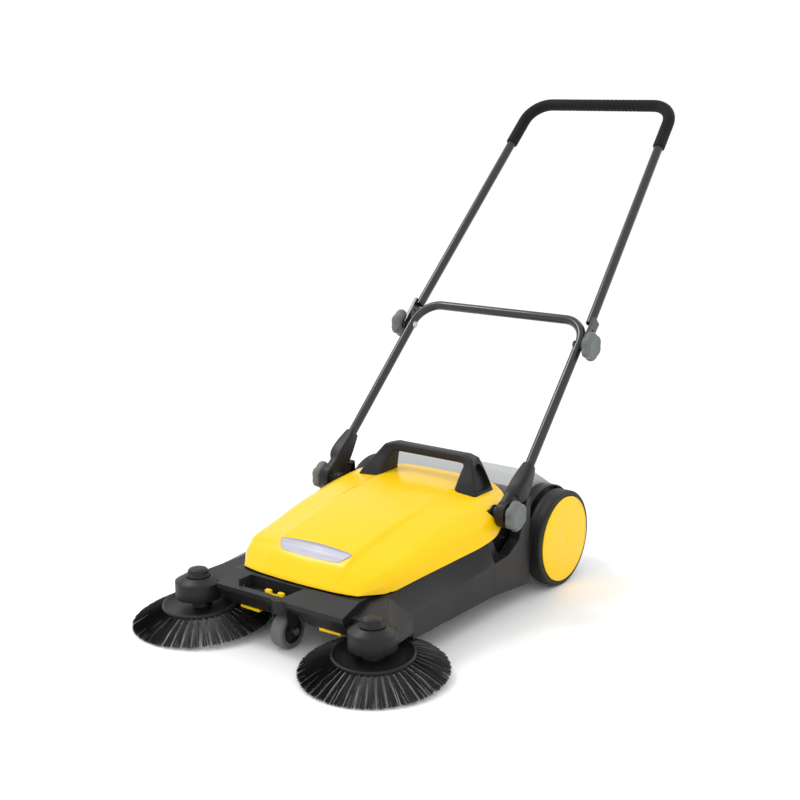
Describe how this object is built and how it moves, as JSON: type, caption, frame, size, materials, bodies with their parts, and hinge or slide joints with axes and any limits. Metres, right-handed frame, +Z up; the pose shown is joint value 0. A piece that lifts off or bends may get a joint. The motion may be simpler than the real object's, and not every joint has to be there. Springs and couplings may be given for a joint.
{
  "type": "walk behind sweeper",
  "caption": "Push sweeper with a folding push handle, side brushes, wheel-driven roller brush, swivel castor and a pull-out waste container.",
  "frame": {"origin": "on the floor, under the centre of the overall length and width", "axes": "+Z up, -Y the direction of travel, +X to the side where the drive wheel that leads the roller sits; the push handle rises towards +Y"},
  "size_m": [0.679, 1.2934, 0.9602],
  "materials": {
    "black_plastic": "fine textured",
    "yellow_plastic": "satin gloss",
    "knob_grey": "satin",
    "container_grey": "satin",
    "tube_paint": "semi gloss powder coat",
    "grip_foam": "soft matt",
    "tyre_black": "matt",
    "castor_grey": "matt",
    "bristle_black": "drawn fibre",
    "bare_steel": "zinc plated",
    "bearing_white": "smooth",
    "belt_rubber": "matt",
    "badge_silver": "satin"
  },
  "bodies": {
    "chassis": {"chassis_shell": "black_plastic", "hood": "yellow_plastic", "carry_handle": "black_plastic", "badge": "badge_silver", "hood_latch": "yellow_plastic", "side_plate_left": "black_plastic", "side_plate_right": "black_plastic", "side_cover_left": "black_plastic", "side_cover_right": "black_plastic", "hinge_brackets": "black_plastic", "front_strips": "yellow_plastic", "wheel_axles": "bare_steel", "axle_fasteners": "bare_steel", "roller_bearings": "bearing_white", "drive_belts": "belt_rubber", "spindle_bearings": "bearing_white", "brush_caps": "black_plastic", "container_rails": "black_plastic", "tie_bars": "bare_steel", "bracket_screws": "bare_steel", "hinge_bolts": "bare_steel", "sealing_lip": "belt_rubber"},
    "roller": {"roller_shaft": "bare_steel", "roller_core": "black_plastic", "roller_bristles": "bristle_black", "drive_pulleys": "black_plastic", "pinion_right": "bearing_white"},
    "pinion_left": {"pinion_left": "bearing_white"},
    "castor_swivel": {"castor_fork": "black_plastic", "castor_axle": "bare_steel"},
    "castor_wheel": {"castor_tyre": "castor_grey", "castor_hub": "black_plastic"},
    "lower_handle": {"lower_handle_tube": "tube_paint", "leg_sockets": "black_plastic", "mid_bolts": "bare_steel"},
    "upper_handle": {"upper_handle_tube": "tube_paint", "foam_grip": "grip_foam"},
    "container": {"waste_container": "container_grey", "container_grip": "container_grey"},
    "wheel_left": {"wheel_tyre_left": "tyre_black", "wheel_rim_left": "black_plastic", "wheel_disc_left": "yellow_plastic", "wheel_bush_left": "bearing_white", "drive_ring_left": "black_plastic"},
    "side_brush_left": {"side_brush_plate_left": "black_plastic", "side_brush_bristles_left": "bristle_black", "side_brush_spindle_left": "bare_steel"},
    "hinge_knob_left": {"hinge_knob_left": "knob_grey"},
    "mid_knob_left": {"mid_knob_left": "knob_grey"},
    "wheel_right": {"wheel_tyre_right": "tyre_black", "wheel_rim_right": "black_plastic", "wheel_disc_right": "yellow_plastic", "wheel_bush_right": "bearing_white", "drive_ring_right": "black_plastic"},
    "side_brush_right": {"side_brush_plate_right": "black_plastic", "side_brush_bristles_right": "bristle_black", "side_brush_spindle_right": "bare_steel"},
    "hinge_knob_right": {"hinge_knob_right": "knob_grey"},
    "mid_knob_right": {"mid_knob_right": "knob_grey"}
  },
  "joints": [
    {"name": "wheel_left_spin", "type": "hinge", "parent": "chassis", "child": "wheel_left", "pos_m": [0, 0.0678, 0.0983], "axis": [1, 0, 0], "continuous": true},
    {"name": "wheel_right_spin", "type": "hinge", "parent": "chassis", "child": "wheel_right", "pos_m": [0, 0.0678, 0.0983], "axis": [1, 0, 0], "continuous": true},
    {"name": "pinion_left_spin", "type": "hinge", "parent": "chassis", "child": "pinion_left", "pos_m": [0, 0.01264, 0.07], "axis": [1, 0, 0], "continuous": true},
    {"name": "roller_spin", "type": "hinge", "parent": "chassis", "child": "roller", "pos_m": [0, 0.01264, 0.07], "axis": [1, 0, 0], "continuous": true},
    {"name": "side_brush_left_spin", "type": "hinge", "parent": "chassis", "child": "side_brush_left", "pos_m": [-0.2045, -0.512, 0.0106], "axis": [-0.0244, -0.0713, 0.9972], "continuous": true},
    {"name": "side_brush_right_spin", "type": "hinge", "parent": "chassis", "child": "side_brush_right", "pos_m": [0.2045, -0.512, 0.0106], "axis": [0.0244, -0.0713, 0.9972], "continuous": true},
    {"name": "castor_swivel_turn", "type": "hinge", "parent": "chassis", "child": "castor_swivel", "pos_m": [0, -0.515, 0.07], "axis": [0, 0, 1], "continuous": true},
    {"name": "castor_wheel_spin", "type": "hinge", "parent": "castor_swivel", "child": "castor_wheel", "pos_m": [0, -0.503, 0.034], "axis": [1, 0, 0], "continuous": true},
    {"name": "lower_handle_fold", "type": "hinge", "parent": "chassis", "child": "lower_handle", "pos_m": [0, -0.1097, 0.1909], "axis": [1, 0, 0], "range_deg": [-5, 125]},
    {"name": "upper_handle_fold", "type": "hinge", "parent": "lower_handle", "child": "upper_handle", "pos_m": [0, 0.17192, 0.47748], "axis": [-1, 0, 0], "range_deg": [-120, 0]},
    {"name": "hinge_knob_left_turn", "type": "hinge", "parent": "chassis", "child": "hinge_knob_left", "pos_m": [-0.2395, -0.1097, 0.1909], "axis": [-1, 0, 0], "range_deg": [-540, 0]},
    {"name": "mid_knob_left_turn", "type": "hinge", "parent": "lower_handle", "child": "mid_knob_left", "pos_m": [-0.2395, 0.17192, 0.47748], "axis": [-1, 0, 0], "range_deg": [-540, 0]},
    {"name": "hinge_knob_right_turn", "type": "hinge", "parent": "chassis", "child": "hinge_knob_right", "pos_m": [0.2395, -0.1097, 0.1909], "axis": [1, 0, 0], "range_deg": [-540, 0]},
    {"name": "mid_knob_right_turn", "type": "hinge", "parent": "lower_handle", "child": "mid_knob_right", "pos_m": [0.2395, 0.17192, 0.47748], "axis": [1, 0, 0], "range_deg": [-540, 0]},
    {"name": "container_pull", "type": "slide", "parent": "chassis", "child": "container", "axis": [0, 1, 0], "range_m": [0, 0.26]}
  ],
  "couplings": [
    {"joint": "roller_spin", "follows": "wheel_right_spin", "ratio": 4.875},
    {"joint": "side_brush_right_spin", "follows": "wheel_right_spin", "ratio": -3.375},
    {"joint": "side_brush_left_spin", "follows": "wheel_right_spin", "ratio": 3.375},
    {"joint": "pinion_left_spin", "follows": "wheel_left_spin", "ratio": 4.875}
  ]
}
